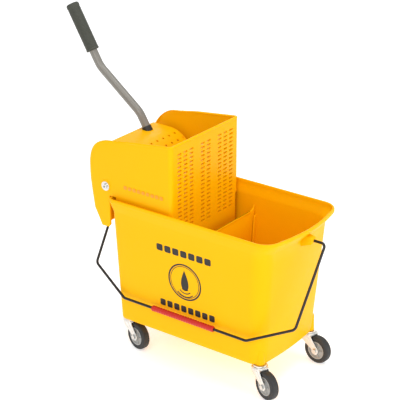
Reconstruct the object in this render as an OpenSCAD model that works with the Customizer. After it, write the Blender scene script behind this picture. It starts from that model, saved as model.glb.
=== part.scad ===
// Wheeled mop bucket with a lift-off side-press wringer.
// +X points to the pouring end, -Y to the side where the bail hangs, +Z up, floor at z = 0.

/* [Bucket] */
// Height of the underside above the floor
floor_gap = 73; // [70:1:80]
// Height of the rim above the floor
rim_z = 373; // [360:1:390]
// Overall width at the rim
rim_w = 270; // [260:1:280]
// Overall width at the underside
base_w = 223; // [216:1:230]
// Outer face of the wringer end wall, at the underside
rear_x = -87; // [-90:1:-85]
// Outer face of the pouring end wall, at the underside
front_base_x = 299; // [295:1:303]
// Outer face of the pouring end at the rim
front_rim_x = 332; // [328:1:336]
// How far the pouring end bows out at the rim
front_bow = 12; // [6:1:16]
// Wall thickness
wall = 4; // [3:0.5:5]
// Position of the drop-in divider along the bucket
divider_x = 115; // [105:1:130]
// Height of the divider's top edge
divider_top = 313; // [290:1:340]

/* [Wringer] */
// Outer width of the wringer housing
housing_w = 244; // [240:1:246]
// Outer face of the slotted front plate
plate_x = 69.5; // [60:0.5:80]
// Height of the top of the front plate
housing_top = 522; // [510:1:530]
// Wall thickness of the housing
skin = 4.5; // [3.5:0.5:5]
// Lever pivot, distance behind the frame's origin
pivot_back = 111; // [105:1:115]
// Lever pivot, height above the floor
pivot_z = 394.5; // [390:0.5:400]
// Radius of the press plate's top curve about the pivot
drum_r = 70.5; // [66:0.5:74]
// Width of the press plate
press_w = 208; // [190:2:210]

/* [Lever handle] */
// Sideways offset of the handle from the centre
handle_y = 60; // [50:1:65]
// Outer diameter of the handle tube
tube_d = 19; // [18:0.5:20]
// Lean of the two end stretches from the vertical, degrees
lean_end = 31; // [25:1:35]
// Lean of the middle stretch from the vertical, degrees
lean_mid = 52.3; // [45:0.1:58]
// Length of the lower stretch up to the first bend
stretch_low = 82; // [75:1:90]
// Length of the middle stretch between the bends
stretch_mid = 144; // [130:1:160]
// Length of the upper stretch, grip included
stretch_top = 150; // [140:1:160]
// Grip diameter
grip_d = 30; // [28:1:34]
// Grip length
grip_len = 116; // [100:1:125]

/* [Bail] */
// Height of the bail's pivots
bail_z = 345; // [340:1:350]
// Bail wire diameter
bail_d = 6; // [5:0.5:7]
// Angle of the hanging bail from the vertical, degrees
bail_hang = 32; // [31:1:36]
// Distance from the pivots to the bail's straight run
bail_drop = 243; // [240:1:248]
// Bail grip diameter
bail_grip_d = 17; // [14:1:18]
// Bail grip length
bail_grip_len = 166; // [150:1:180]

/* [Casters] */
// Wheel diameter
wheel_d = 63.6; // [60:0.2:65]
// Tyre width
tyre_w = 18; // [16:1:20]
// Trail from the swivel axis to the axle
trail = 26; // [24:1:28]

/* [Hidden] */

$fn = 64;
yellow = [1.0, 0.76, 0.0];
steel = [0.72, 0.72, 0.70];
black = [0.09, 0.09, 0.09];
red = [0.80, 0.10, 0.06];
warm_grey = [0.52, 0.50, 0.46];
eps = 0.01;
big = 600;

// Bucket sections: height, rear face, front face, bow, half width, front corner, rear corner
shoulder_z = rim_z - 33;
lip_z = rim_z - 8;
sec_base = [floor_gap, rear_x + 2, front_base_x - 8, 4, base_w / 2 - 5, 29, 8];
sec_low = [floor_gap + 8, rear_x, front_base_x - 3, 4, base_w / 2, 34, 12];
sec_shoulder = [shoulder_z, rear_x - 3, front_rim_x - 17, 8, rim_w / 2 - 6, 40, 12];
sec_lip = [lip_z, rear_x - 10, front_rim_x, front_bow, rim_w / 2, 40, 14];
low_in = sec_low[4] - wall;
shoulder_in = sec_shoulder[4] - wall;
rib_t = 3;
rib_gap = 6;
rib_deep = 8;
rib_top = divider_top - 13;
divider_t = 3;
slice = 0.2;

// Wringer outline, in the XZ plane
side_y = housing_w / 2;
low_y = side_y - 10;
step_z = rim_z - 28;
basket_floor = 205;
slot_rear = rear_x - 14;
slot_front = rear_x + 4;
hood_back = -158;
hood_low = 296;
hood_corner_r = 62;
hood_corner_z = 440;
hood_top = 400;
hood_knee = [-148, hood_low + 38];
hood_toe = [-126, hood_low];
bridge_gap = 3;
bridge_t = 4;

// Handle stations, in the XZ plane
dir_end = [-sin(lean_end), cos(lean_end)];
dir_mid = [-sin(lean_mid), cos(lean_mid)];
tube_foot = [-117.5, 430.6];
bend_low = tube_foot + stretch_low * dir_end;
bend_high = bend_low + stretch_mid * dir_mid;
tube_tip = bend_high + stretch_top * dir_end;
bend_r = 60;
bend_len = bend_r * tan((lean_mid - lean_end) / 2);
tube_wall = 1.6;

// Bail stations: X, and distance down from the pivots in the bail's own plane
bail_mid = 104.5;
arm_top = 273;
arm_low = 268;
arm_drop = 188;
run_half = 165;
bail_grip_mid = 103;
rear_pin_x = rear_x - 9;
front_pin_x = front_rim_x + 2;
boss_tip_x = 352.5;
boss_r = 10;

// Casters: swivel X, swivel Y, yaw of the trail
front_swivel = 283;
rear_swivel = -76;
corners = [
    [front_swivel, -94, -18],
    [front_swivel + 1, 98, -4],
    [rear_swivel, -86, -14],
    [rear_swivel, 86, -12]
];
wheel_r = wheel_d / 2;
hub_r = 21;
stem_r = 6;
socket_r = 9;
flange_z = 69.6;
race_top = 69.2;
plate_z = 63.5;
plate_t = 2.6;
leg_y = 11;
leg_t = 2.2;
axle_r = 3;

// ---------- shared helpers ----------

function arc(cx, cy, r, a0, a1, n) = [for (i = [0:n])
    let (a = a0 + (a1 - a0) * i / n)
    [cx + r * cos(a), cy + r * sin(a)]];

// Outline of the bucket at one height, pulled in by t: near rear corner, bowed front, far rear corner
function outline(s, t) =
    let (x0 = s[1] + t, x1 = s[2] - t, h = s[4] - t, rf = s[5] - t, rr = s[6] - t)
    concat(
        arc(x0 + rr, -h + rr, rr, 180, 270, 5),
        arc(x1 - rf, -h + rf, rf, 270, 350, 6),
        [for (i = [-3:3]) [x1 + s[3] * (1 - pow(i / 4, 2)), (h - rf) * i / 4]],
        arc(x1 - rf, h - rf, rf, 10, 90, 6),
        arc(x0 + rr, h - rr, rr, 90, 180, 5)
    );

module section(s, t, dz) {
    translate([0, 0, s[0] + dz]) linear_extrude(slice) polygon(outline(s, t));
}

// Straight round rod between two points
module rod(a, b, r) {
    d = b - a;
    len = norm(d);
    translate(a) rotate([0, acos(d[2] / len), atan2(d[1], d[0])]) cylinder(h = len, r = r);
}

// Extrudes an XZ outline along Y
module slab(y0, y1) {
    translate([0, y1, 0]) rotate([90, 0, 0]) linear_extrude(y1 - y0) children();
}

// Places a child that is drawn along +Z onto the lower stretch of the handle
module on_tube(along) {
    p = tube_foot + along * dir_end;
    translate([p[0], handle_y, p[1]]) rotate([0, -lean_end, 0]) children();
}

// Places a caster piece at its corner, trail along +X of the child
module at_corner(c) {
    translate([c[0], c[1], 0]) rotate([0, 0, c[2]]) children();
}

module along_y(y0, y1, r) {
    translate([0, y1, 0]) rotate([90, 0, 0]) cylinder(h = y1 - y0, r = r);
}

// ---------- bucket ----------

module stem_socket(c) {
    translate([c[0], c[1], floor_gap + wall - 1]) cylinder(h = 35, r = socket_r);
}

module bucket() {
    color(yellow) difference() {
        union() {
            difference() {
                union() {
                    hull() {
                        section(sec_base, 0, 0);
                        section(sec_low, 0, 0);
                        section(sec_shoulder, 0, 0);
                    }
                    hull() {
                        section(sec_shoulder, 0, 0);
                        section(sec_lip, 0, 0);
                    }
                    translate([0, 0, lip_z]) linear_extrude(rim_z - lip_z) polygon(outline(sec_lip, 0));
                }
                hull() {
                    section(sec_base, wall, wall);
                    section(sec_low, wall, 0);
                    section(sec_shoulder, wall, 0);
                }
                hull() {
                    section(sec_shoulder, wall, -slice);
                    section(sec_lip, wall, 0);
                }
                translate([0, 0, lip_z]) linear_extrude(big) polygon(outline(sec_lip, wall));
            }
            for (c = corners) stem_socket(c);
            // bail bosses on the end walls
            rod([front_rim_x - 10, 0, bail_z], [boss_tip_x, 0, bail_z], boss_r);
            rod([slot_rear - 2, 0, bail_z], [rear_x - 1, 0, bail_z], boss_r);
            guide_ribs();
        }
        for (c = corners) translate([c[0], c[1], floor_gap - eps]) cylinder(h = 33, r = stem_r + 0.2);
        rod([front_pin_x - 1, 0, bail_z], [boss_tip_x + 1, 0, bail_z], bail_d / 2 + 0.06);
        rod([slot_rear - 3, 0, bail_z], [rear_pin_x + 1, 0, bail_z], bail_d / 2 + 0.06);
    }
}

// Inner face of a side wall at height z
function wall_in(z) = low_in + (shoulder_in - low_in) * (z - sec_low[0]) / (shoulder_z - sec_low[0]);

// Upright ribs on the side walls that hold the divider, leaning out with the walls
module guide_ribs() {
    for (side = [-1, 1], start = [-rib_gap / 2 - rib_t, rib_gap / 2])
        translate([divider_x + start, 0, 0]) rotate([90, 0, 90]) linear_extrude(rib_t) polygon([
            [side * (low_in - rib_deep), floor_gap + 2],
            [side * (low_in + 1), floor_gap + 2],
            [side * (wall_in(rib_top) + 1), rib_top],
            [side * (wall_in(rib_top) - rib_deep), rib_top]
        ]);
}

// Drop-in wall between the clean and the wringer compartment
module divider() {
    z0 = floor_gap + wall + 1;
    z1 = divider_top;
    ear = 10;
    y0 = low_in - 3;
    y1 = wall_in(z1 + ear) - 2;
    color(yellow) translate([divider_x - divider_t / 2, 0, 0]) rotate([90, 0, 90]) linear_extrude(divider_t)
        polygon([[-y0, z0], [y0, z0], [y1, z1 + ear], [y1 - ear, z1], [ear - y1, z1], [-y1, z1 + ear]]);
}

// ---------- bail ----------

function bail_point(x, down) = [x, -down * sin(bail_hang), bail_z - down * cos(bail_hang)];

module bail_wire() {
    path = [
        bail_point(rear_pin_x + 1, 0),
        bail_point(bail_mid - arm_top, 0),
        bail_point(bail_mid - arm_low, arm_drop),
        bail_point(bail_mid - run_half, bail_drop),
        bail_point(bail_mid + run_half, bail_drop),
        bail_point(bail_mid + arm_low, arm_drop),
        bail_point(bail_mid + arm_top, 0),
        bail_point(front_pin_x, 0)
    ];
    color(black) union() {
        for (i = [0:len(path) - 2]) rod(path[i], path[i + 1], bail_d / 2);
        for (i = [1:len(path) - 2]) translate(path[i]) sphere(r = bail_d / 2 + 0.1);
    }
}

module bail_grip() {
    low = bail_grip_mid - bail_grip_len / 2;
    high = bail_grip_mid + bail_grip_len / 2;
    color(red) difference() {
        rod(bail_point(low, bail_drop), bail_point(high, bail_drop), bail_grip_d / 2);
        rod(bail_point(low - 1, bail_drop), bail_point(high + 1, bail_drop), bail_d / 2 + 0.1);
    }
}

// ---------- wringer ----------

// Housing side, down to the step above the bucket's inside
module side_outline() {
    polygon(concat(
        [[plate_x, housing_top], [plate_x, step_z], [slot_front, step_z], [slot_front, rim_z + bridge_gap],
         [slot_rear, rim_z + bridge_gap], [slot_rear, hood_low + 8], [slot_rear - 5, hood_low + 2],
         hood_toe, hood_knee],
        arc(hood_back + hood_corner_r, hood_corner_z, hood_corner_r, 180, 95, 8)
    ));
}

module side_panel(y0) {
    slab(y0, y0 + skin) side_outline();
}

// Columns of the front plate's slots: three, two, three
slot_columns = [-93, -72, -51, -10.5, 10.5, 51, 72, 93];
slot_w = 14;
slot_h = 4;
slot_rows = 20;
slot_pitch = 9.5;
slot_top = housing_top - 23;

module front_slots() {
    for (y = slot_columns, k = [0:slot_rows - 1])
        translate([plate_x - skin - 1, y - slot_w / 2, slot_top - k * slot_pitch]) cube([skin + 2, slot_w, slot_h]);
}

drain_pitch = 24;
drain_r = 5;

module floor_holes() {
    for (x = [-60:drain_pitch:36], y = [-84:drain_pitch:84])
        translate([x, y, basket_floor - 1]) cylinder(h = skin + 2, r = drain_r);
}

bail_notch = 14;

module hood_skirt() {
    difference() {
        slab(-side_y, side_y) polygon([
            [hood_back, hood_top], [hood_back + skin, hood_top], hood_knee + [4.4, 0], hood_toe + [2, skin],
            hood_toe, hood_knee
        ]);
        // notch that passes the bail's rear boss
        translate([-big / 2, -bail_notch / 2, 0]) cube([big / 2, bail_notch, bail_z + 9]);
    }
}

bush_r = 8;
bush_flange_r = 11;

module wringer_housing() {
    color(yellow) difference() {
        union() {
            side_panel(-side_y);
            side_panel(side_y - skin);
            // lower basket sides, stepped in to clear the bucket's taper
            for (y0 = [-low_y, low_y - skin])
                translate([slot_front + 1, y0, basket_floor])
                    cube([plate_x - slot_front - 1, skin, step_z - basket_floor]);
            for (y0 = [-side_y, low_y - skin])
                translate([slot_front + 1, y0, step_z - eps])
                    cube([plate_x - slot_front - 1, side_y - low_y + skin, skin]);
            // front plate
            translate([plate_x - skin, -side_y, step_z]) cube([skin, housing_w, housing_top - step_z]);
            translate([plate_x - skin, -low_y, basket_floor])
                cube([skin, 2 * low_y, step_z - basket_floor + 1]);
            // floor and bridge over the bucket's end wall
            translate([slot_front + 1, -low_y, basket_floor])
                cube([plate_x - slot_front - 1, 2 * low_y, skin]);
            translate([slot_rear - 1, -side_y + 1, rim_z + bridge_gap])
                cube([slot_front - slot_rear + 4, housing_w - 2, bridge_t]);
            hood_skirt();
        }
        front_slots();
        floor_holes();
        translate([-pivot_back, 0, pivot_z]) along_y(-side_y - 1, side_y + 1, bush_r);
    }
}

lever_axle_r = 5;
tapped_r = 3.05;
tapped_len = 18;

module lever_axle() {
    color(steel) translate([-pivot_back, 0, pivot_z]) difference() {
        along_y(-side_y - 0.3, side_y + 0.3, lever_axle_r);
        along_y(-side_y - 1, -side_y + tapped_len, tapped_r);
        along_y(side_y - tapped_len, side_y + 1, tapped_r);
    }
}

module axle_bushes() {
    color(black) translate([-pivot_back, 0, pivot_z]) difference() {
        union() {
            along_y(-side_y, -side_y + skin, bush_r);
            along_y(-side_y + skin, -side_y + skin + 2, bush_flange_r);
            along_y(side_y - skin, side_y, bush_r);
            along_y(side_y - skin - 2, side_y - skin, bush_flange_r);
        }
        along_y(-side_y - 1, side_y + 1, lever_axle_r + 0.1);
    }
}

module axle_washers() {
    color(steel) translate([-pivot_back, 0, pivot_z]) difference() {
        union() {
            along_y(-side_y - 2, -side_y - 0.3, 10.5);
            along_y(side_y + 0.3, side_y + 2, 10.5);
        }
        along_y(-side_y - 3, side_y + 3, 3.3);
    }
}

module axle_screw(side) {
    rotate([0, 0, side > 0 ? 0 : 180]) difference() {
        union() {
            along_y(side_y - 16, side_y + 2, 3);
            along_y(side_y + 2, side_y + 5.5, 5.5);
        }
        translate([0, side_y + 6, 0]) rotate([90, 0, 0]) cylinder(h = 3, r = 2.9, $fn = 6);
    }
}

module axle_screws() {
    color(steel) translate([-pivot_back, 0, pivot_z]) {
        axle_screw(1);
        axle_screw(-1);
    }
}

// Torsion spring wound on the axle: coil, one leg down to the bridge and one leg up
spring_turns = 6;
spring_r = 8.5;
spring_wire = 1.2;
spring_pitch = 3.2;
spring_steps = 16;
spring_sides = 8;
spring_y = -50;

function coil_ring(k) =
    let (a = 360 * k / spring_steps, y = spring_y + spring_pitch * k / spring_steps)
    [for (j = [0:spring_sides - 1])
        let (b = 360 * j / spring_sides, r = spring_r + spring_wire * cos(b))
        [r * cos(a), y + spring_wire * sin(b), r * sin(a)]];

module return_spring() {
    rings = spring_turns * spring_steps;
    points = [for (k = [0:rings]) each coil_ring(k)];
    n = spring_sides;
    sides = [for (k = [0:rings - 1], j = [0:n - 1])
        [k * n + j, k * n + (j + 1) % n, (k + 1) * n + (j + 1) % n, (k + 1) * n + j]];
    ends = [[for (j = [n - 1:-1:0]) j], [for (j = [0:n - 1]) rings * n + j]];
    color(steel) translate([-pivot_back, 0, pivot_z]) polyhedron(points, concat(sides, ends));
}

// ---------- press lever ----------

shelf_len = 45;
face_foot = [-25, 225];
web_t = 5;
press_hub_r = 10;
press_hub_len = 24;

module press_profile() {
    t = 4;
    a_end = 25;
    px = -pivot_back;
    face_top = [px + drum_r * cos(a_end), pivot_z + drum_r * sin(a_end)];
    polygon(concat(
        [[px - shelf_len, pivot_z + drum_r - t], [px - shelf_len, pivot_z + drum_r]],
        arc(px, pivot_z, drum_r, 90, a_end, 12),
        [face_foot, face_foot - [t, 0], [face_top[0] - t, face_top[1] - 6]],
        arc(px, pivot_z, drum_r - t, a_end, 90, 12)
    ));
}

module press_web() {
    px = -pivot_back;
    polygon(concat(
        [[px - 42, pivot_z + drum_r - 2], [px - 10, pivot_z - 2], [px, pivot_z - 10], [px + 34, pivot_z - 10],
         [-60, 350], [-32, 262], [-28, 262]],
        arc(px, pivot_z, drum_r - 2, 20, 90, 8)
    ));
}

hole_pitch = 21;
hole_d = 6;
arc_rows = [67, 51, 35];

module press_holes() {
    for (i = [0:len(arc_rows) - 1], k = [-4:4])
        translate([-pivot_back, (k - (i % 2) / 2) * hole_pitch + hole_pitch / 4, pivot_z])
            rotate([0, 90 - arc_rows[i], 0]) translate([0, 0, drum_r - 10]) cylinder(h = 20, d = hole_d, $fn = 24);
    for (i = [0:7], k = [-4:4])
        translate([-60, (k - ((i + 1) % 2) / 2) * hole_pitch + hole_pitch / 4, 400 - i * hole_pitch])
            rotate([0, 90, 0]) cylinder(h = 50, d = hole_d, $fn = 24);
}

socket_len = 40;

module press_plate() {
    web_y = press_w / 2;
    color(yellow) difference() {
        union() {
            slab(-web_y, web_y) press_profile();
            slab(-web_y, -web_y + web_t) press_web();
            slab(web_y - web_t, web_y) press_web();
            translate([-pivot_back, 0, pivot_z]) {
                along_y(-web_y, -web_y + press_hub_len, press_hub_r);
                along_y(web_y - press_hub_len, web_y, press_hub_r);
            }
            intersection() {
                on_tube(-2) cylinder(h = socket_len + 30, r = 13.5);
                translate([-big, 0, 0]) cube([big, big / 2, pivot_z + drum_r - 0.5]);
            }
        }
        press_holes();
        on_tube(0) cylinder(h = 80, r = tube_d / 2 + 0.1);
        on_tube(18) along_y(-20, 20, 2.6);
        translate([-pivot_back, 0, pivot_z]) along_y(-side_y, side_y, lever_axle_r + 0.06);
    }
}

module tube_stretch(a, b, r) {
    rod([a[0], handle_y, a[1]], [b[0], handle_y, b[1]], r);
}

// Centre line of a bend: position and lean, from one lean to the other
bend_steps = 8;

function bend_stations(start, a0, a1) =
    let (turn = sign(a1 - a0))
    [for (i = [0:bend_steps])
        let (a = a0 + (a1 - a0) * i / bend_steps)
        [start[0] + turn * bend_r * (cos(a) - cos(a0)), start[1] + turn * bend_r * (sin(a) - sin(a0)), a]];

function tube_ring(s, r, n) = [for (j = [0:n - 1])
    let (b = 360 * j / n)
    [s[0] + r * cos(b) * cos(s[2]), handle_y + r * sin(b), s[1] + r * cos(b) * sin(s[2])]];

// Hollow bent tube: outer rings first, then inner rings
module bent_tube() {
    n = 32;
    line = concat(
        [[tube_foot[0], tube_foot[1], lean_end]],
        bend_stations(bend_low - bend_len * dir_end, lean_end, lean_mid),
        bend_stations(bend_high - bend_len * dir_mid, lean_mid, lean_end),
        [[tube_tip[0], tube_tip[1], lean_end]]
    );
    m = len(line);
    points = concat(
        [for (s = line) each tube_ring(s, tube_d / 2, n)],
        [for (s = line) each tube_ring(s, tube_d / 2 - tube_wall, n)]
    );
    outer = [for (k = [0:m - 2], j = [0:n - 1])
        [k * n + j, (k + 1) * n + j, (k + 1) * n + (j + 1) % n, k * n + (j + 1) % n]];
    inner = [for (f = outer) [m * n + f[3], m * n + f[2], m * n + f[1], m * n + f[0]]];
    foot = [for (j = [0:n - 1]) [j, (j + 1) % n, m * n + (j + 1) % n, m * n + j]];
    tip = [for (f = foot) [for (i = [3:-1:0]) f[i] + (m - 1) * n]];
    polyhedron(points, concat(outer, inner, foot, tip));
}

module handle_tube() {
    color(warm_grey) difference() {
        bent_tube();
        on_tube(18) along_y(-20, 20, 2.6);
    }
}

module handle_collar() {
    shelf_along = (pivot_z + drum_r - tube_foot[1]) / dir_end[1];
    color(black) difference() {
        on_tube(shelf_along - 10) cylinder(h = 18, r = tube_d / 2 + 1.4);
        on_tube(shelf_along - 12) cylinder(h = 30, r = tube_d / 2 + 0.1);
        translate([-big, 0, 0]) cube([2 * big, big, pivot_z + drum_r + 0.1]);
    }
}

module handle_screw() {
    color(steel) on_tube(18) {
        along_y(-15.5, 16, 2.5);
        along_y(13.8, 18, 4.5);
    }
}

module handle_grip() {
    low = tube_tip - (grip_len - 5) * dir_end;
    round_r = 5;
    color(black) difference() {
        translate([low[0], handle_y, low[1]]) rotate([0, -lean_end, 0]) rotate_extrude() polygon(concat(
            [[0, 0], [grip_d / 2 - 3, 0], [grip_d / 2, 4]],
            arc(grip_d / 2 - round_r, grip_len - round_r, round_r, 0, 90, 6),
            [[0, grip_len]]
        ));
        tube_stretch(low - 5 * dir_end, tube_tip + 0.2 * dir_end, tube_d / 2 + 0.05);
    }
}

// ---------- casters ----------

// Plain swivel stem with a flange above the fork and a riveted foot below it
module caster_stem() {
    color(steel) union() {
        translate([0, 0, 61.4]) cylinder(h = 1.8, r = 7.5);
        translate([0, 0, 62]) cylinder(h = floor_gap + 28 - 62, r = stem_r);
        translate([0, 0, flange_z]) cylinder(h = floor_gap - flange_z, r = 15);
    }
}

module caster_race() {
    color(steel) translate([0, 0, plate_z + plate_t]) difference() {
        cylinder(h = race_top - plate_z - plate_t, r = 17.5);
        translate([0, 0, -1]) cylinder(h = 10, r = 13.5);
    }
}

module leg_outline() {
    polygon([
        [-17, plate_z + 1], [11, plate_z + 1], [11, 58],
        [trail + 8.3, wheel_r + 3.4], [trail - 7.4, wheel_r - 5.2]
    ]);
    translate([trail, wheel_r]) circle(9);
}

module caster_fork() {
    color(steel) difference() {
        union() {
            intersection() {
                translate([0, 0, plate_z]) cylinder(h = plate_t, r = 17.5);
                translate([-18, -leg_y - leg_t, 0]) cube([29, 2 * (leg_y + leg_t), 100]);
            }
            slab(-leg_y - leg_t, -leg_y) leg_outline();
            slab(leg_y, leg_y + leg_t) leg_outline();
            translate([0, 0, plate_z]) cylinder(h = plate_t, r = 17.5);
        }
        cylinder(h = 100, r = stem_r + 0.05);
        translate([trail, 0, wheel_r]) along_y(-20, 20, axle_r + 0.1);
    }
}

module caster_bolt() {
    color(steel) translate([trail, 0, wheel_r]) union() {
        along_y(-leg_y - leg_t - 0.1, leg_y + leg_t + 5, axle_r);
        translate([0, -leg_y - leg_t - 0.1, 0]) rotate([90, 0, 0]) cylinder(h = 3.5, r = 5.8, $fn = 6);
    }
}

module caster_nut() {
    color(steel) translate([trail, leg_y + leg_t + 0.1, wheel_r]) rotate([-90, 0, 0]) difference() {
        cylinder(h = 4, r = 5.8, $fn = 6);
        translate([0, 0, -1]) cylinder(h = 8, r = axle_r + 0.05);
    }
}

module caster_hub() {
    w = tyre_w / 2;
    color([0.62, 0.62, 0.60]) translate([trail, 0, wheel_r]) rotate([90, 0, 0]) rotate_extrude()
        polygon([
            [axle_r + 0.06, -10.6], [7.5, -10.6], [7.5, -5], [hub_r - 3, -4], [hub_r - 2, 1 - w], [hub_r, 1 - w],
            [hub_r, w - 1], [hub_r - 2, w - 1], [hub_r - 3, 4], [7.5, 5], [7.5, 10.6], [axle_r + 0.06, 10.6]
        ]);
}

module caster_tyre() {
    w = tyre_w / 2;
    r = 4;
    color(black) translate([trail, 0, wheel_r]) rotate([90, 0, 0]) rotate_extrude()
        polygon(concat(
            [[hub_r, -w]],
            arc(wheel_r - r, r - w, r, -90, 0, 5),
            arc(wheel_r - r, w - r, r, 0, 90, 5),
            [[hub_r, w]]
        ));
}

// ---------- parts ----------

bucket();
divider();
bail_wire();
bail_grip();
wringer_housing();
lever_axle();
axle_bushes();
axle_washers();
axle_screws();
return_spring();
press_plate();
handle_tube();
handle_collar();
handle_screw();
handle_grip();
at_corner(corners[0]) caster_stem();  // stem_front_right
at_corner(corners[1]) caster_stem();  // stem_front_left
at_corner(corners[2]) caster_stem();  // stem_rear_right
at_corner(corners[3]) caster_stem();  // stem_rear_left
at_corner(corners[0]) caster_race();  // race_front_right
at_corner(corners[1]) caster_race();  // race_front_left
at_corner(corners[2]) caster_race();  // race_rear_right
at_corner(corners[3]) caster_race();  // race_rear_left
at_corner(corners[0]) caster_fork();  // fork_front_right
at_corner(corners[1]) caster_fork();  // fork_front_left
at_corner(corners[2]) caster_fork();  // fork_rear_right
at_corner(corners[3]) caster_fork();  // fork_rear_left
at_corner(corners[0]) caster_bolt();  // bolt_front_right
at_corner(corners[1]) caster_bolt();  // bolt_front_left
at_corner(corners[2]) caster_bolt();  // bolt_rear_right
at_corner(corners[3]) caster_bolt();  // bolt_rear_left
at_corner(corners[0]) caster_nut();  // nut_front_right
at_corner(corners[1]) caster_nut();  // nut_front_left
at_corner(corners[2]) caster_nut();  // nut_rear_right
at_corner(corners[3]) caster_nut();  // nut_rear_left
at_corner(corners[0]) caster_hub();  // hub_front_right
at_corner(corners[1]) caster_hub();  // hub_front_left
at_corner(corners[2]) caster_hub();  // hub_rear_right
at_corner(corners[3]) caster_hub();  // hub_rear_left
at_corner(corners[0]) caster_tyre();  // tyre_front_right
at_corner(corners[1]) caster_tyre();  // tyre_front_left
at_corner(corners[2]) caster_tyre();  // tyre_rear_right
at_corner(corners[3]) caster_tyre();  // tyre_rear_left
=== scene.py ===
"""Wheeled mop bucket with side-press wringer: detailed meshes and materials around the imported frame."""
import math

import bmesh
import bpy
from mathutils import Matrix, Vector


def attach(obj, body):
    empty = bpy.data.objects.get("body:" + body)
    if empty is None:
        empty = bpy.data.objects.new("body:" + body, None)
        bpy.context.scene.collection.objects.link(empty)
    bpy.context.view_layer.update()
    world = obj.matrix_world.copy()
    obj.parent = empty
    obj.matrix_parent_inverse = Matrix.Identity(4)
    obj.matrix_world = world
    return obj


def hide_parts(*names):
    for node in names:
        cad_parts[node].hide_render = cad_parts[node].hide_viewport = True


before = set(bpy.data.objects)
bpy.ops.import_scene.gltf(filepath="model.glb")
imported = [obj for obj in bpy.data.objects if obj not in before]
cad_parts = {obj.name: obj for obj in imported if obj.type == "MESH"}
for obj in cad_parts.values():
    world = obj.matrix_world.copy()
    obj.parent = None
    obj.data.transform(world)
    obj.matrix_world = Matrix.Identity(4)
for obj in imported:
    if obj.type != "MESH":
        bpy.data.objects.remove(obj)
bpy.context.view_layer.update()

MM = 0.001
scene = bpy.context.scene


# ---------------------------------------------------------------- small helpers

def lerp(a, b, t):
    return a + (b - a) * t


def smooth(t):
    t = min(max(t, 0.0), 1.0)
    return t * t * (3 - 2 * t)


def make_object(name, verts, faces):
    """A mesh object from millimetre points."""
    mesh = bpy.data.meshes.new(name)
    mesh.from_pydata([(x * MM, y * MM, z * MM) for x, y, z in verts], [], faces)
    mesh.validate()
    obj = bpy.data.objects.new(name, mesh)
    scene.collection.objects.link(obj)
    return obj


def apply_modifiers(obj):
    """Puts the result of an object's modifiers into its mesh."""
    bpy.context.view_layer.update()
    graph = bpy.context.evaluated_depsgraph_get()
    mesh = bpy.data.meshes.new_from_object(obj.evaluated_get(graph))
    obj.modifiers.clear()
    obj.data = mesh
    return obj


def shade(obj, angle=35):
    """Smooth shading, sharp where faces meet at more than the angle."""
    for polygon in obj.data.polygons:
        polygon.use_smooth = True
    obj.data.set_sharp_from_angle(angle=math.radians(angle))
    return obj


def clean(obj):
    """Welds doubled points and turns the faces outwards."""
    bm = bmesh.new()
    bm.from_mesh(obj.data)
    bmesh.ops.remove_doubles(bm, verts=bm.verts, dist=0.02 * MM)
    bmesh.ops.recalc_face_normals(bm, faces=bm.faces)
    bm.to_mesh(obj.data)
    bm.free()
    return obj


def bevel(obj, width, segments=2, angle=40):
    mod = obj.modifiers.new("edges", "BEVEL")
    mod.width = width * MM
    mod.segments = segments
    mod.limit_method = "ANGLE"
    mod.angle_limit = math.radians(angle)
    return apply_modifiers(obj)


def join(name, objects):
    """One object from several."""
    bm = bmesh.new()
    for obj in objects:
        obj.data.transform(obj.matrix_world)
        bm.from_mesh(obj.data)
        bpy.data.objects.remove(obj)
    mesh = bpy.data.meshes.new(name)
    bm.to_mesh(mesh)
    bm.free()
    joined = bpy.data.objects.new(name, mesh)
    scene.collection.objects.link(joined)
    return joined


def rings_to_faces(count, size, close_ring=True):
    faces = []
    for k in range(count - 1):
        for j in range(size if close_ring else size - 1):
            a, b = k * size + j, k * size + (j + 1) % size
            faces.append((a, b, b + size, a + size))
    return faces


def loft(name, rings, cap_start=True, cap_end=True):
    """Skins a list of equal closed rings, with flat ends."""
    size = len(rings[0])
    verts = [p for ring in rings for p in ring]
    faces = rings_to_faces(len(rings), size)
    if cap_start:
        faces.append(tuple(reversed(range(size))))
    if cap_end:
        faces.append(tuple(range((len(rings) - 1) * size, len(rings) * size)))
    return clean(make_object(name, verts, faces))


def lathe(name, profile, steps=64):
    """Turns a closed (radius, height) outline about Z."""
    rings = [[(r * math.cos(a), r * math.sin(a), z) for r, z in profile]
             for a in (2 * math.pi * k / steps for k in range(steps))]
    size = len(profile)
    verts = [p for ring in rings for p in ring]
    faces = []
    for k in range(steps):
        for j in range(size):
            a, b = k * size + j, k * size + (j + 1) % size
            c, d = (k + 1) % steps * size + (j + 1) % size, (k + 1) % steps * size + j
            faces.append((a, b, c, d))
    return clean(make_object(name, verts, faces))


def fillet_path(points, radii, steps=8):
    """A polyline through points with its corners rounded."""
    path = [Vector(points[0])]
    for i in range(1, len(points) - 1):
        p, q, r = Vector(points[i - 1]), Vector(points[i]), Vector(points[i + 1])
        u, v = (p - q).normalized(), (r - q).normalized()
        half = u.angle(v) / 2
        back = radii[i - 1] / math.tan(half)
        centre = q + (u + v).normalized() * radii[i - 1] / math.sin(half)
        start, end = q + u * back - centre, q + v * back - centre
        for k in range(steps + 1):
            path.append(centre + slerp(start, end, k / steps))
    path.append(Vector(points[-1]))
    return path


def slerp(a, b, t):
    angle = a.angle(b)
    return (a * math.sin((1 - t) * angle) + b * math.sin(t * angle)) / math.sin(angle)


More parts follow.
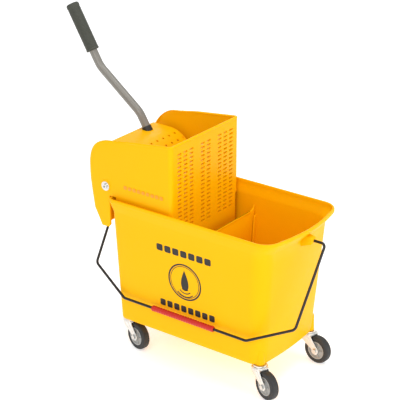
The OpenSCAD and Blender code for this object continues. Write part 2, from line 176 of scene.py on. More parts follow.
def sweep(name, path, radius, sides=24, caps=True):
    """A round tube along a path, with rings that don't twist."""
    rings = []
    normal = None
    for k, p in enumerate(path):
        ahead = path[min(k + 1, len(path) - 1)]
        behind = path[max(k - 1, 0)]
        tangent = (ahead - behind).normalized()
        if normal is None:
            normal = tangent.orthogonal().normalized()
        normal = (normal - tangent * normal.dot(tangent)).normalized()
        side = tangent.cross(normal)
        r = radius(k) if callable(radius) else radius
        rings.append([tuple(p + (normal * math.cos(a) + side * math.sin(a)) * r)
                      for a in (2 * math.pi * j / sides for j in range(sides))])
    return loft(name, rings, caps, caps)


def place(obj, matrix):
    """Moves a piece's mesh from its own frame, in metres, into the part's."""
    obj.data.transform(matrix)
    return obj


def adopt(obj, body, nodes, material, angle=35):
    """Finishes a piece: shading, material, body and the CAD nodes it stands for."""
    shade(obj, angle)
    obj.data.materials.clear()
    obj.data.materials.append(material)
    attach(obj, body)
    if nodes:
        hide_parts(*nodes)
    return obj


# ---------------------------------------------------------------- sheets and flat pieces

def sheet_mesh(name, flat, faces, mapping, thickness):
    """A closed plate from a flat mesh: mapping(u, v, depth) gives the point, depth 0 is the outer face."""
    count = len(flat)
    verts = [mapping(u, v, 0.0) for u, v in flat] + [mapping(u, v, thickness) for u, v in flat]
    solid = [tuple(f) for f in faces] + [tuple(count + i for i in reversed(f)) for f in faces]
    used = {}
    for f in faces:
        for a, b in zip(f, f[1:] + f[:1]):
            used[(a, b)] = used.get((a, b), 0) + 1
    for a, b in used:
        if (b, a) not in used:
            solid.append((b, a, a + count, b + count))
    return clean(make_object(name, verts, solid))


def plate(name, outline, mapping, thickness):
    """A flat piece with one outline."""
    return sheet_mesh(name, outline, [tuple(range(len(outline)))], mapping, thickness)


def perforated(name, u_cuts, v_cuts, hole_at, mapping, thickness, steps=4):
    """A plate on a grid of cells; hole_at(i, j) gives (half u, half v, corner radius) or None."""
    flat = [(u, v) for u in u_cuts for v in v_cuts]
    across = len(v_cuts)
    faces = []
    for i in range(len(u_cuts) - 1):
        for j in range(across - 1):
            ring = (i * across + j, (i + 1) * across + j, (i + 1) * across + j + 1, i * across + j + 1)
            hole = hole_at(i, j)
            if hole is None:
                faces.append(ring)
                continue
            half_u, half_v, r = hole
            uc, vc = (u_cuts[i] + u_cuts[i + 1]) / 2, (v_cuts[j] + v_cuts[j + 1]) / 2
            arcs = []
            for quarter, (su, sv) in enumerate(((-1, -1), (1, -1), (1, 1), (-1, 1))):
                first = len(flat)
                for k in range(steps + 1):
                    a = math.pi + (quarter + k / steps) * math.pi / 2
                    flat.append((uc + su * (half_u - r) + r * math.cos(a),
                                 vc + sv * (half_v - r) + r * math.sin(a)))
                arcs.append(range(first, first + steps + 1))
            for quarter in range(4):
                here, after = arcs[quarter], arcs[(quarter + 1) % 4]
                for k in range(steps):
                    faces.append((ring[quarter], here[k + 1], here[k]))
                faces.append((ring[quarter], ring[(quarter + 1) % 4], after[0], here[steps]))
    return sheet_mesh(name, flat, faces, mapping, thickness)


def box(name, low, high, edge=0.6):
    """A block with rounded edges."""
    (x0, y0, z0), (x1, y1, z1) = low, high
    obj = plate(name, [(x0, y0), (x1, y0), (x1, y1), (x0, y1)], lambda x, y, d: (x, y, z1 - d), z1 - z0)
    return bevel(obj, edge) if edge else obj


def arc(cx, cy, r, start, end, steps):
    """Points along a circular arc, angles in degrees."""
    return [(cx + r * math.cos(a), cy + r * math.sin(a))
            for a in (math.radians(lerp(start, end, k / steps)) for k in range(steps + 1))]


# ---------------------------------------------------------------- materials

MOTTLE_SCALE, STREAK_SCALE = 9.0, 45.0
RELIEF = 0.4

def material(name, colour, rough, metal=0.0, grain=600.0, bump=0.05, mottle=0.06, wear=0.0, gleam=0.5):
    """Procedural finish: mottled colour, uneven gloss, fine grain and faint wear marks."""
    mat = bpy.data.materials.new(name)
    mat.use_nodes = True
    nodes, links = mat.node_tree.nodes, mat.node_tree.links
    shader = nodes["Principled BSDF"]
    shader.inputs["Metallic"].default_value = metal
    shader.inputs["Specular IOR Level"].default_value = gleam
    where = nodes.new("ShaderNodeTexCoord")

    cloud = nodes.new("ShaderNodeTexNoise")
    cloud.inputs["Scale"].default_value = MOTTLE_SCALE
    cloud.inputs["Detail"].default_value = 6.0
    links.new(where.outputs["Object"], cloud.inputs["Vector"])
    mix = nodes.new("ShaderNodeMix")
    mix.data_type = "RGBA"
    light = [min(c * (1 + mottle), 1.0) for c in colour]
    dark = [c * (1 - mottle) for c in colour]
    mix.inputs["A"].default_value = (*dark, 1)
    mix.inputs["B"].default_value = (*light, 1)
    links.new(cloud.outputs["Fac"], mix.inputs["Factor"])
    base = mix.outputs["Result"]

    streak = nodes.new("ShaderNodeTexNoise")
    streak.inputs["Scale"].default_value = STREAK_SCALE
    streak.inputs["Detail"].default_value = 8.0
    streak.inputs["Roughness"].default_value = 0.7
    links.new(where.outputs["Object"], streak.inputs["Vector"])
    if wear:
        spots = nodes.new("ShaderNodeMapRange")
        spots.inputs["From Min"].default_value = 0.58
        spots.inputs["From Max"].default_value = 0.72
        spots.inputs["To Max"].default_value = wear
        links.new(streak.outputs["Fac"], spots.inputs["Value"])
        worn = nodes.new("ShaderNodeMix")
        worn.data_type = "RGBA"
        grey = sum(colour) / 3
        worn.inputs["B"].default_value = (*[lerp(c, grey, 0.4) * 0.75 for c in colour], 1)
        links.new(spots.outputs["Result"], worn.inputs["Factor"])
        links.new(base, worn.inputs["A"])
        base = worn.outputs["Result"]
    links.new(base, shader.inputs["Base Color"])

    gloss = nodes.new("ShaderNodeMapRange")
    gloss.inputs["From Min"].default_value = 0.3
    gloss.inputs["From Max"].default_value = 0.7
    gloss.inputs["To Min"].default_value = rough * 0.82
    gloss.inputs["To Max"].default_value = min(rough * 1.2, 1.0)
    links.new(streak.outputs["Fac"], gloss.inputs["Value"])
    links.new(gloss.outputs["Result"], shader.inputs["Roughness"])

    fine = nodes.new("ShaderNodeTexNoise")
    fine.inputs["Scale"].default_value = grain
    fine.inputs["Detail"].default_value = 3.0
    links.new(where.outputs["Object"], fine.inputs["Vector"])
    relief = nodes.new("ShaderNodeBump")
    relief.inputs["Strength"].default_value = bump
    relief.inputs["Distance"].default_value = RELIEF * MM
    links.new(fine.outputs["Fac"], relief.inputs["Height"])
    links.new(relief.outputs["Normal"], shader.inputs["Normal"])
    return mat


YELLOW = material("yellow", (1.0, 0.49, 0.0), 0.40, grain=900, bump=0.06, mottle=0.02, wear=0.03,
                  gleam=0.09)
# darker orange copy of the yellow plastic: painted shade for the raised dashes on the wringer's near side
YELLOW_PAINTED_SHADE = material("yellow_painted_shade", (0.86, 0.33, 0.0), 0.40, grain=900, bump=0.06, mottle=0.08, wear=0.10)
STEEL = material("steel", (0.76, 0.76, 0.74), 0.30, metal=0.9, grain=1400, bump=0.12, mottle=0.10,
                 wear=0.35)
BRIGHT = material("bright", (0.66, 0.66, 0.64), 0.22, metal=0.95, grain=1600, bump=0.08,
                  mottle=0.06, wear=0.25)
TUBE = material("tube", (0.235, 0.225, 0.20), 0.38, metal=0.25, grain=1800, bump=0.10, mottle=0.08,
                wear=0.15)
GRIP = material("grip", (0.052, 0.056, 0.042), 0.62, grain=1300, bump=0.55, mottle=0.20, wear=0.15)
BAIL = material("bail", (0.010, 0.010, 0.010), 0.35, metal=0.1, grain=1500, bump=0.10, mottle=0.15,
                wear=0.15)
RED = material("red", (0.55, 0.012, 0.006), 0.42, grain=1100, bump=0.12, mottle=0.06, wear=0.15)
BLACK = material("black", (0.013, 0.013, 0.012), 0.45, grain=1200, bump=0.12, mottle=0.15, wear=0.10)
HUB = material("hub", (0.40, 0.40, 0.385), 0.45, grain=1200, bump=0.12, mottle=0.06, wear=0.20)
TYRE = material("tyre", (0.024, 0.025, 0.026), 0.60, grain=900, bump=0.25, mottle=0.20, wear=0.40)
NYLON = material("nylon", (0.05, 0.05, 0.05), 0.50, grain=1200, bump=0.15, mottle=0.15, wear=0.10)
INK = material("ink", (0.010, 0.008, 0.004), 0.50, grain=1500, bump=0.10, mottle=0.25, wear=0.25)


# ---------------------------------------------------------------- bucket

FLOOR_GAP, RIM_Z = 73.0, 373.0
WALL = 4.0
FLOOR_TOP = FLOOR_GAP + WALL
BASE_ROUND, INNER_ROUND = 8.0, 12.0
LOW_Z, SHOULDER_Z, LIP_Z = FLOOR_GAP + BASE_ROUND, 340.0, 365.0
# Rim bead from the outside over the top to the inside: drop below the rim, inset
RIM_BEAD = ((7.4, -0.4), (6.6, -0.6), (1.8, -0.6), (0.5, 0.1), (0.0, 1.2), (0.0, 2.6), (0.5, 3.7), (1.8, 4.2),
            (RIM_Z - LIP_Z, WALL))
BAIL_Z = 345.0
# Outlines of the two bail bosses: X, height from the bail's axis
FRONT_BOSS = ((316, -19), (326, -17), (346, -9), (350, -6), (350, 5), (346, 8), (325, 11))
REAR_BOSS = ((-86, -19), (-92, -17), (-101, -10), (-102.6, -6), (-102.6, 6), (-100, 9.6), (-88, 10))
# Stem socket: radius, height over the bucket's underside
SOCKET = ((0.5, 1), (11.5, 1), (11.2, 3), (10.4, 35), (9.6, 37.6), (8.6, 38), (0.5, 38))
MARKS, MARK_LOW, MARK_PITCH = 5, 150, 36
# Rear face, front face, bow, half width, front corner, rear corner
BASE = (-82.0, 291.0, 4.0, 106.5, 29.0, 8.0)
LOW = (-87.0, 296.0, 4.0, 111.5, 34.0, 12.0)
SHOULDER = (-90.0, 315.0, 8.0, 129.0, 40.0, 12.0)
LIP = (-97.0, 332.0, 12.0, 135.0, 40.0, 14.0)


def mix_section(a, b, t):
    return tuple(lerp(p, q, t) for p, q in zip(a, b))


def section_at(z):
    if z < LOW_Z:
        t = (LOW_Z - z) / (LOW_Z - FLOOR_GAP)
        return mix_section(LOW, BASE, 1 - math.sqrt(max(1 - t * t, 0.0)))
    if z < SHOULDER_Z:
        return mix_section(LOW, SHOULDER, (z - LOW_Z) / (SHOULDER_Z - LOW_Z))
    t = min((z - SHOULDER_Z) / (LIP_Z - SHOULDER_Z), 1.0)
    return mix_section(SHOULDER, LIP, 0.5 * t + 0.5 * smooth(t))


def bucket_ring(z, inset, height=None):
    """Outline of the bucket at height z, pulled in by the inset."""
    rear, front, bow, half, front_r, rear_r = section_at(z)
    x0, x1, h = rear + inset, front - inset, half - inset
    rf, rr = max(front_r - inset, 2.0), max(rear_r - inset, 2.0)
    ring = arc(x0 + rr, -h + rr, rr, 180, 270, 6)
    ring += [(lerp(x0 + rr, x1 - rf, k / 8), -h) for k in range(1, 8)]
    ring += arc(x1 - rf, -h + rf, rf, 270, 352, 12)
    ring += [(x1 + bow * (1 - (k / 8) ** 2), (h - rf) * k / 8) for k in range(-7, 8)]
    ring += arc(x1 - rf, h - rf, rf, 8, 90, 12)
    ring += [(lerp(x1 - rf, x0 + rr, k / 8), h) for k in range(1, 8)]
    ring += arc(x0 + rr, h - rr, rr, 90, 180, 6)
    ring += [(x0, lerp(h - rr, rr - h, k / 6)) for k in range(1, 6)]
    return [(x, y, z if height is None else height) for x, y in ring]


def bucket_shell():
    rings = [bucket_ring(FLOOR_GAP + BASE_ROUND * (1 - math.cos(a)), 0)
             for a in (math.pi / 2 * k / 6 for k in range(7))]
    rings += [bucket_ring(lerp(LOW_Z, SHOULDER_Z, k / 10), 0) for k in range(1, 11)]
    rings += [bucket_ring(lerp(SHOULDER_Z, LIP_Z, k / 8), 0) for k in range(1, 9)]
    rings += [bucket_ring(RIM_Z, inset, RIM_Z - drop) for drop, inset in RIM_BEAD]
    rings += [bucket_ring(lerp(LIP_Z, SHOULDER_Z, k / 8), WALL) for k in range(1, 9)]
    rings += [bucket_ring(lerp(SHOULDER_Z, FLOOR_TOP + INNER_ROUND, k / 10), WALL) for k in range(1, 11)]
    for a in (math.pi / 2 * k / 5 for k in range(1, 6)):
        rings.append(bucket_ring(LOW_Z, WALL + INNER_ROUND * (1 - math.cos(a)),
                                 FLOOR_TOP + INNER_ROUND * (1 - math.sin(a))))
    return loft("bucket_shell", rings)


DIVIDER_X, DIVIDER_TOP, DIVIDER_T = 115.0, 313.0, 3.0
GUIDE_GAP, GUIDE_T, GUIDE_DEPTH = 3.0, 3.0, 8.0
GUIDE_TOP = DIVIDER_TOP - 13

# Each caster: swivel X, swivel Y, yaw of its trail
CORNERS = {
    "front_right": (283.0, -94.0, -18.0),
    "front_left": (284.0, 98.0, -4.0),
    "rear_right": (-76.0, -86.0, -14.0),
    "rear_left": (-76.0, 86.0, -12.0),
}


def near_wall(z):
    """Outer face of the near side wall at height z."""
    return -section_at(z)[3]


def in_xz(y0):
    return lambda x, z, d: (x, y0 + d, z)


def make_bucket():
    pieces = [bucket_shell()]
    for x, y, _ in CORNERS.values():
        socket = lathe("socket", [(r, FLOOR_GAP + z) for r, z in SOCKET], 40)
        pieces.append(place(socket, Matrix.Translation((x * MM, y * MM, 0))))
    front_boss = plate("boss", [(x, BAIL_Z + z) for x, z in FRONT_BOSS], in_xz(-8), 16)
    pieces.append(bevel(front_boss, 3.4, 4, 25))
    rear_boss = plate("boss", [(x, BAIL_Z + z) for x, z in REAR_BOSS], in_xz(-10), 20)
    pieces.append(bevel(rear_boss, 2.6, 3, 25))
    low, high = LOW[3] - WALL, section_at(GUIDE_TOP)[3] - WALL
    guide = [(low - GUIDE_DEPTH, FLOOR_TOP - 1), (low + 1, FLOOR_TOP - 1), (high + 1, GUIDE_TOP),
             (high - 5, GUIDE_TOP), (high - GUIDE_DEPTH, GUIDE_TOP - 4)]
    for side in (-1, 1):
        for x0 in (DIVIDER_X - GUIDE_GAP - GUIDE_T, DIVIDER_X + GUIDE_GAP):
            outline = [(side * y, z) for y, z in guide]
            rib = plate("rib", outline, lambda y, z, d, x0=x0: (x0 + d, y, z), GUIDE_T)
            pieces.append(bevel(rib, 0.7))
    # filling marks inside the pouring end
    for k in range(MARKS):
        z = MARK_LOW + MARK_PITCH * k
        wide = 16 if k % 2 else 26
        x = section_at(z)[1] + section_at(z)[2] - WALL
        pieces.append(box("mark", (x - 1.2, -wide, z), (x + 1, wide, z + 1.6), 0.4))
    return adopt(join("bucket_moulding", pieces), "bucket_body", ["bucket"], YELLOW)


def make_divider():
    top, ear, hollow_r = DIVIDER_TOP, 10, 12
    low, high = LOW[3] - WALL - 3, section_at(top + ear)[3] - WALL - 2
    outline = [(-low, FLOOR_TOP + 1), (low, FLOOR_TOP + 1), (high, top + ear), (high - 1.5, top + ear)]
    outline += arc(high - 14, top + hollow_r, hollow_r, -10, -90, 6)
    outline += arc(14 - high, top + hollow_r, hollow_r, -90, -170, 6)
    outline += [(1.5 - high, top + ear), (-high, top + ear)]
    wall = plate("panel", outline, lambda y, z, d: (DIVIDER_X - DIVIDER_T / 2 + d, y, z), DIVIDER_T)
    wall = bevel(wall, 0.7)
    bead = box("bead", (DIVIDER_X - 2.3, 16 - high, top - 4), (DIVIDER_X + 2.3, high - 16, top), 1.2)
    pieces = [wall, bead]
    for y in (-70, 0, 70):
        pieces.append(box("rib", (DIVIDER_X - 2.7, y - 1.2, 92), (DIVIDER_X - 0.5, y + 1.2, top - 26), 0.6))
    return adopt(join("divider_panel", pieces), "bucket_body", ["divider"], YELLOW)


def on_wall(lift):
    """Maps (x, z) onto the near side wall, raised by the lift."""
    slope = (SHOULDER[3] - LOW[3]) / (SHOULDER_Z - LOW_Z)
    length = math.hypot(1, slope)
    return lambda x, z, d: (x, near_wall(z) - (lift - d) / length, z + (lift - d) * slope / length)


def rounded_bar(x0, x1, z0, z1, r):
    bar = arc(x0 + r, z0 + r, r, 180, 270, 5) + arc(x1 - r, z0 + r, r, 270, 360, 5)
    return bar + arc(x1 - r, z1 - r, r, 0, 90, 5) + arc(x0 + r, z1 - r, r, 90, 180, 5)


def ring_piece(name, cx, cz, outer, inner, start, end, steps, mapping):
    flat = arc(cx, cz, outer, start, end, steps) + arc(cx, cz, inner, start, end, steps)
    n = steps + 1
    faces = [(k, k + 1, n + k + 1, n + k) for k in range(steps)]
    return sheet_mesh(name, flat, faces, mapping, INK_T)


# Dashes in a row on the near wall: count, first X, pitch, width, lower edge
PRINT_ROWS = ((7, 31, 21.3, 16.5, 283), (8, 33, 18.9, 14.4, 147))
DASH_HEIGHT, DASH_R = 16, 3.4
PRINT_X, PRINT_Z, INK_T = 103, 223, 0.5


def make_print():
    """Plain printed decoration on the near wall: dashes, a water drop in a ring, ripples, dashes."""
    over = on_wall(0.25)
    pieces = []
    for count, first, pitch, width, z0 in PRINT_ROWS:
        for k in range(count):
            x0 = first + pitch * k
            dash = rounded_bar(x0, x0 + width, z0, z0 + DASH_HEIGHT, DASH_R)
            pieces.append(plate("dash", dash, over, INK_T))
    for outer, inner in ((44, 40.4), (38.2, 36.8)):
        pieces.append(ring_piece("ring", PRINT_X, PRINT_Z, outer, inner, 0, 360, 72, over))
    drop = [(PRINT_X, PRINT_Z + 31)]
    drop += [(PRINT_X + 13.5 * math.sin(a) * math.sin(a / 2) ** 1.2, PRINT_Z + 4 + 25 * math.cos(a))
             for a in (2 * math.pi * k / 40 for k in range(1, 40))]
    pieces.append(plate("drop", drop, over, INK_T))
    for r in (12, 20, 28):
        pieces.append(ring_piece("ripple", PRINT_X, PRINT_Z - 9, r, r - 2.4, 222, 318, 24, over))
    return adopt(join("side_print", pieces), "bucket_body", [], INK, 30)


# ---------------------------------------------------------------- bail

BAIL_HANG = math.radians(32)
BAIL_DROP, BAIL_KNEE = 243, 188
BAIL_R = 3.0
# Wire corners from the rear pin to the front pin: X, distance below the bail's axis
BAIL_ROUTE = ((-95.0, 0), (-168.5, 0), (-163.5, BAIL_KNEE), (-60.5, BAIL_DROP), (269.5, BAIL_DROP),
              (372.5, BAIL_KNEE), (377.5, 0), (334.0, 0))
# Radii of the bends between them
BAIL_BENDS = (9, 13, 16, 16, 13, 9)
BAIL_GRIP_X, BAIL_GRIP_HALF, BAIL_RIBS = 103, 83.0, 22


def bail_point(x, down):
    return Vector((x, -down * math.sin(BAIL_HANG), BAIL_Z - down * math.cos(BAIL_HANG)))


def make_bail():
    corners = [bail_point(x, down) for x, down in BAIL_ROUTE]
    wire = sweep("bail_rod", fillet_path(corners, BAIL_BENDS, 10), BAIL_R, 20)
    adopt(wire, "bail", ["bail_wire"], BAIL)

    half = BAIL_GRIP_HALF
    end = [(3.1, half), (5.2, half), (6.1, half - 0.9), (6.6, half - 2.2), (6.6, half - 6), (6.0, half - 7)]
    profile = [(r, -z) for r, z in end]
    for k in range(BAIL_RIBS + 1):
        z = lerp(9 - half, half - 9, k / BAIL_RIBS)
        profile += [(6.0, z - 1.6), (6.5, z - 0.6), (6.5, z + 0.6), (6.0, z + 1.6)]
    profile += end[::-1]
    grip = lathe("bail_handgrip", profile, 40)
    centre = bail_point(BAIL_GRIP_X, BAIL_DROP)
    place(grip, Matrix.Translation(centre * MM) @ Matrix.Rotation(math.pi / 2, 4, "Y"))
    adopt(grip, "bail", ["bail_grip"], RED, 50)


# ---------------------------------------------------------------- wringer housing

SIDE_Y, LOW_Y, SKIN = 122.0, 112.0, 4.5
PLATE_X, HOUSING_TOP, STEP_Z, BASKET_FLOOR = 69.5, 522.0, 345.0, 205.0
# Upper edge of a side panel: its rear end's X and Z, and its rise per millimetre towards the front plate
EDGE_X, EDGE_Z = -101.4, 501.8
EDGE_RISE = (HOUSING_TOP - EDGE_Z) / (PLATE_X - EDGE_X)
HOOD_X, HOOD_Z, HOOD_WIDE, HOOD_HIGH = -96, 440, 65, 62
SLOT_TOP, BRIDGE_Z, BRIDGE_T = 374, 376, 4
ROLL_R, LIP_R = 12.0, 3.1
SLOT_COLUMNS = (-93, -72, -51, -10.5, 10.5, 51, 72, 93)
SLOT_PITCH, SLOT_ROWS, SLOT_TOP_ROW = 9.5, 20, 501.0
SLOT_REAR, SLOT_FRONT = -101.0, -83.0
CORNER_R = 9.0
PIVOT = Vector((-111.0, 0, 394.5))


def edge_height(x):
    """Height of the side panels' upper edge."""
    return EDGE_Z + (x - EDGE_X) * EDGE_RISE


def side_outline():
    """A side panel's edge, round from the lower rear over the top: X, Z, share of the rolled edge."""
    x1 = PLATE_X - CORNER_R
    points = [(-127, 295, 0.6), (-139, 314, 0.9), (-150, 333, 1.0), (-155.5, 367, 1.0), (-160, 400, 1.0),
              (-161, 420, 1.0)]
    points += [(HOOD_X - HOOD_WIDE * math.sin(a), HOOD_Z + HOOD_HIGH * math.cos(a),
                0.18 + 0.82 * smooth((a - 0.55) / 0.9))
               for a in (math.radians(lerp(90, 5, k / 16)) for k in range(17))]
    points += [(x, edge_height(x), w)
               for x, w in ((-90, 0.17), (-78, 0.15), (-62, 0.1), (-48, 0.05), (-35, 0.0), (0, 0.0),
                            (x1, 0.0))]
    points += [(x, z, 0.0) for x, z in ((x1, STEP_Z), (SLOT_FRONT, STEP_Z), (SLOT_FRONT, SLOT_TOP),
                                        (SLOT_REAR, SLOT_TOP), (SLOT_REAR, 304))]
    points += [(-106, 298, 0.1), (-116, 296.6, 0.3)]
    return points


def make_side(side):
    """One side panel, its rear and upper edge rolled in towards the middle; a closed shell."""
    outline = side_outline()
    count = len(outline)
    inward = []
    for k in range(count):
        (xa, za, _), (xb, zb, _) = outline[k - 1], outline[(k + 1) % count]
        dx, dz = xb - xa, zb - za
        length = math.hypot(dx, dz)
        inward.append((dz / length, -dx / length))

    def ring(roll, depth, start):
        """Outline pulled in along a quarter round of the radius, from its edge (0) to the flat (1)."""
        a = math.pi / 2 * start
        return [(x + n[0] * (roll * (1 - math.cos(a)) + depth) * w,
                 side * (SIDE_Y - depth - roll * w * (1 - math.sin(a))),
                 z + n[1] * (roll * (1 - math.cos(a)) + depth) * w) for (x, z, w), n in zip(outline, inward)]

    outer = [ring(ROLL_R, 0.0, k / 6) for k in range(7)]
    inner = [ring(ROLL_R - SKIN, SKIN, k / 6) for k in range(7)]
    return loft("side", outer[::-1] + inner)


def make_front():
    """Slotted front plate with its rounded upright corners."""
    cuts_y = sorted({-LOW_Y, LOW_Y, 0.0} | {c + d for c in SLOT_COLUMNS for d in (-8.5, 8.5)})
    low_edge = SLOT_TOP_ROW + SLOT_PITCH / 2 - SLOT_ROWS * SLOT_PITCH
    cuts_z = [BASKET_FLOOR, 260, low_edge] + [low_edge + SLOT_PITCH * (k + 1) for k in range(SLOT_ROWS)]
    cuts_z += [HOUSING_TOP - 6, HOUSING_TOP]

    def hole(i, j):
        middle = (cuts_y[j] + cuts_y[j + 1]) / 2
        return (2.1, 7.0, 2.0) if 2 <= i < 2 + SLOT_ROWS and middle in SLOT_COLUMNS else None

    pieces = [perforated("slots", cuts_z, cuts_y, hole, lambda z, y, d: (PLATE_X - d, y, z), SKIN)]
    for side in (-1, 1):
        outer = [(PLATE_X, LOW_Y)] + arc(PLATE_X - CORNER_R, SIDE_Y - CORNER_R, CORNER_R, 0, 90, 8)
        inner = arc(PLATE_X - CORNER_R, SIDE_Y - CORNER_R, CORNER_R - SKIN, 90, 0, 8)
        inner += [(PLATE_X - SKIN, LOW_Y)]
        pieces.append(plate("corner", [(x, side * y) for x, y in outer + inner],
                            lambda x, y, d: (x, y, HOUSING_TOP - d), HOUSING_TOP - STEP_Z))
    return pieces


def make_housing():
    pieces = [make_side(-1), make_side(1)] + make_front()
    # lip along the top edges
    y = SIDE_Y - SKIN / 2
    x = PLATE_X - SKIN / 2
    taper = [Vector((q, -y, edge_height(q))) for q in (-86, -78, -70, -60, -50, -40)]
    path = fillet_path([(-30, -y, edge_height(-30)), (x, -y, HOUSING_TOP), (x, y, HOUSING_TOP),
                        (-30, y, edge_height(-30))], [7, 7], 8)
    path = taper + path + [Vector((q.x, y, q.z)) for q in reversed(taper)]
    pieces.append(sweep("lip", path, lambda k: lerp(0.6, LIP_R, smooth((path[k].x + 86) / 50)), 16))
    for side in (-1, 1):
        pieces.append(box("lower", (SLOT_FRONT + 1, min(side * LOW_Y, side * (LOW_Y - SKIN)), BASKET_FLOOR),
                          (PLATE_X - 1, max(side * LOW_Y, side * (LOW_Y - SKIN)), STEP_Z + 2), 0.8))
        pieces.append(box("step", (SLOT_FRONT + 1, min(side * SIDE_Y, side * (LOW_Y - SKIN)), STEP_Z),
                          (PLATE_X - 3, max(side * (SIDE_Y - 0.6), side * (LOW_Y - SKIN)), STEP_Z + SKIN), 0.8))
    cuts_x = [SLOT_FRONT + 1, -72] + [-72 + 24 * k for k in range(1, 6)] + [PLATE_X - 1]
    cuts_y = [-LOW_Y + 1] + [-96 + 24 * k for k in range(9)] + [LOW_Y - 1]
    pieces.append(perforated("floor", cuts_x, cuts_y,
                             lambda i, j: (5, 5, 5) if 1 <= i <= 5 and 1 <= j <= 8 else None,
                             lambda u, v, d: (u, v, BASKET_FLOOR + SKIN - d), SKIN, 6))
    pieces.append(box("bridge", (SLOT_REAR - 1, 5 - SIDE_Y, BRIDGE_Z),
                      (SLOT_FRONT + 3, SIDE_Y - 5, BRIDGE_Z + BRIDGE_T), 0.8))
    skirt = [(-158, 402), (-148, 334), (-126, 296), (-124, 300.5), (-143.6, 335.4), (-153.5, 402)]
    for side in (-1, 1):
        pieces.append(bevel(plate("skirt", skirt, in_xz(-112 if side < 0 else 7), 105), 1.2, 3))
    upper = [(-158, 402), (-151, 354), (-146.5, 354), (-153.5, 402)]
    pieces.append(bevel(plate("skirt", upper, in_xz(-8), 16), 1.2, 3))
    pieces.append(box("skirt_lip", (-160, -108, 398.5), (-151.5, 108, 403.5), 1.6))
    for side in (-1, 1):
        boss = lathe("pivot_boss", [(8.1, 0), (15, 0), (14.6, 1.0), (8.1, 1.0)], 48)
        turn = Matrix.Rotation(-side * math.pi / 2, 4, "X")
        spot = Matrix.Translation((PIVOT.x * MM, side * (SIDE_Y - 0.2) * MM, PIVOT.z * MM))
        pieces.append(place(boss, spot @ turn))
    # row of plain raised dashes low on the near side, coloured a darker orange as painted shade of their relief
    dashes = []
    for k in range(9):
        x0 = -60 + 12.3 * k
        dash = plate("dash", rounded_bar(x0, x0 + 9.0, 399.5, 407.5, 1.8), in_xz(-SIDE_Y - 1.1), 1.6)
        dashes.append(bevel(dash, 0.4))
    adopt(join("side_dashes", dashes), "wringer", [], YELLOW_PAINTED_SHADE, 32)
    whole = join("wringer_moulding", pieces)
    return adopt(whole, "wringer", ["wringer_housing"], YELLOW, 32)


# ---------------------------------------------------------------- press lever

DRUM_R, PRESS_Y = 70.5, 104.0
FACE_TOP = math.radians(25)
FACE_FOOT = Vector((-25.0, 225.0))
PRESS_T, SHELF_LEN = 4.0, 45.0
TURN_LEN = (math.pi / 2 - FACE_TOP) * DRUM_R
FACE_START = Vector((PIVOT.x + DRUM_R * math.cos(FACE_TOP), PIVOT.z + DRUM_R * math.sin(FACE_TOP)))
FACE_RUN = FACE_FOOT - FACE_START
HOLE_R, HOLE_CELL, HOLE_PITCH, HALF_PITCH = 3, 4.6, 20.5, 10.5
WEB_T, HUB_LEN = 5, 24


def press_path(along, depth):
    """Point of the press plate's section at a distance from the shelf's rear edge; depth is inwards."""
    if along <= SHELF_LEN:
        return PIVOT.x - SHELF_LEN + along, PIVOT.z + DRUM_R - depth
    if along <= SHELF_LEN + TURN_LEN:
        a = math.pi / 2 - (along - SHELF_LEN) / DRUM_R
        return PIVOT.x + (DRUM_R - depth) * math.cos(a), PIVOT.z + (DRUM_R - depth) * math.sin(a)
    t = (along - SHELF_LEN - TURN_LEN) / FACE_RUN.length
    p = FACE_START + FACE_RUN * t
    side = Vector((FACE_RUN.y, -FACE_RUN.x)).normalized()
    blend = min(t * 8, 1.0)
    inward = (side * blend + Vector((-math.cos(FACE_TOP), -math.sin(FACE_TOP))) * (1 - blend)).normalized()
    return p.x + inward.x * depth, p.y + inward.y * depth


